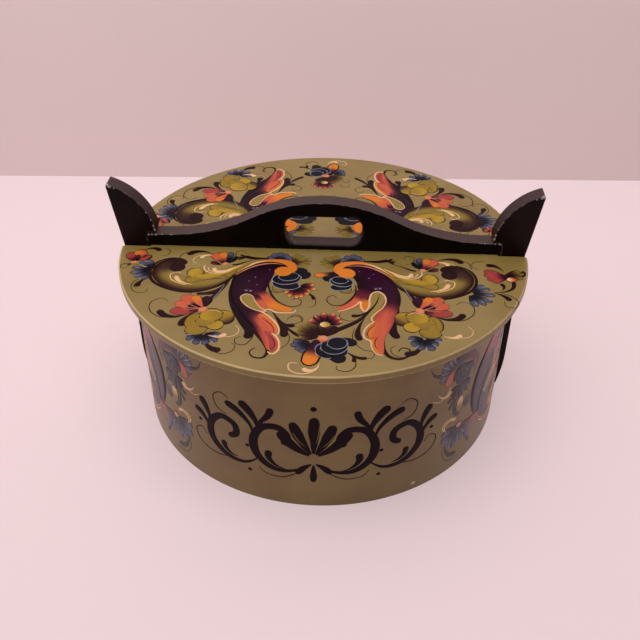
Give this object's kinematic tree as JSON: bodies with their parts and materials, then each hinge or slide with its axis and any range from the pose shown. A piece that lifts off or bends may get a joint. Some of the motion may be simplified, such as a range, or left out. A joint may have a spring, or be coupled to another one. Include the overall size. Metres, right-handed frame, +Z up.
{
  "type": "bentwood tine box",
  "caption": "Round bentwood box with a laced seam; its flat lid has a low carrying handle and snaps under two sprung, horn-shaped posts.",
  "frame": {"origin": "middle of the base, on the surface that the box stands on", "axes": "+Z up; the handle board and both posts lie in the XZ plane; the laced seam is at +Y and the plain front at -Y"},
  "size_m": [0.3114, 0.3, 0.177],
  "materials": {
    "olive_paint": "olive paint under satin varnish",
    "dark_paint": "plum-black paint, satin, worn at the edges",
    "bare_wood": "bare planed wood",
    "peg_wood": "end grain of whittled pegs",
    "root": "split root, smooth and dry"
  },
  "bodies": {
    "box": {"wall_band": "olive_paint", "seam_lacing": "root", "bottom_board": "bare_wood", "bottom_pegs": "peg_wood"},
    "left_post": {"left_post": "dark_paint", "left_post_pegs": "peg_wood"},
    "right_post": {"right_post": "dark_paint", "right_post_pegs": "peg_wood"},
    "lid": {"lid_board": "olive_paint", "handle_board": "dark_paint", "handle_pegs": "peg_wood"}
  },
  "joints": [
    {"name": "lid_lift", "type": "slide", "parent": "box", "child": "lid", "axis": [0, 0, 1], "range_m": [0, 0.07], "deforming": ["left_post", "right_post"]},
    {"name": "left_post_flex", "type": "hinge", "parent": "box", "child": "left_post", "pos_m": [-0.1403, 0, 0.004], "axis": [0, -1, 0], "range_deg": [0, 4.5], "stiffness_Nm_per_rad": 26},
    {"name": "right_post_flex", "type": "hinge", "parent": "box", "child": "right_post", "pos_m": [0.1403, 0, 0.004], "axis": [0, 1, 0], "range_deg": [0, 4.5], "stiffness_Nm_per_rad": 26}
  ]
}
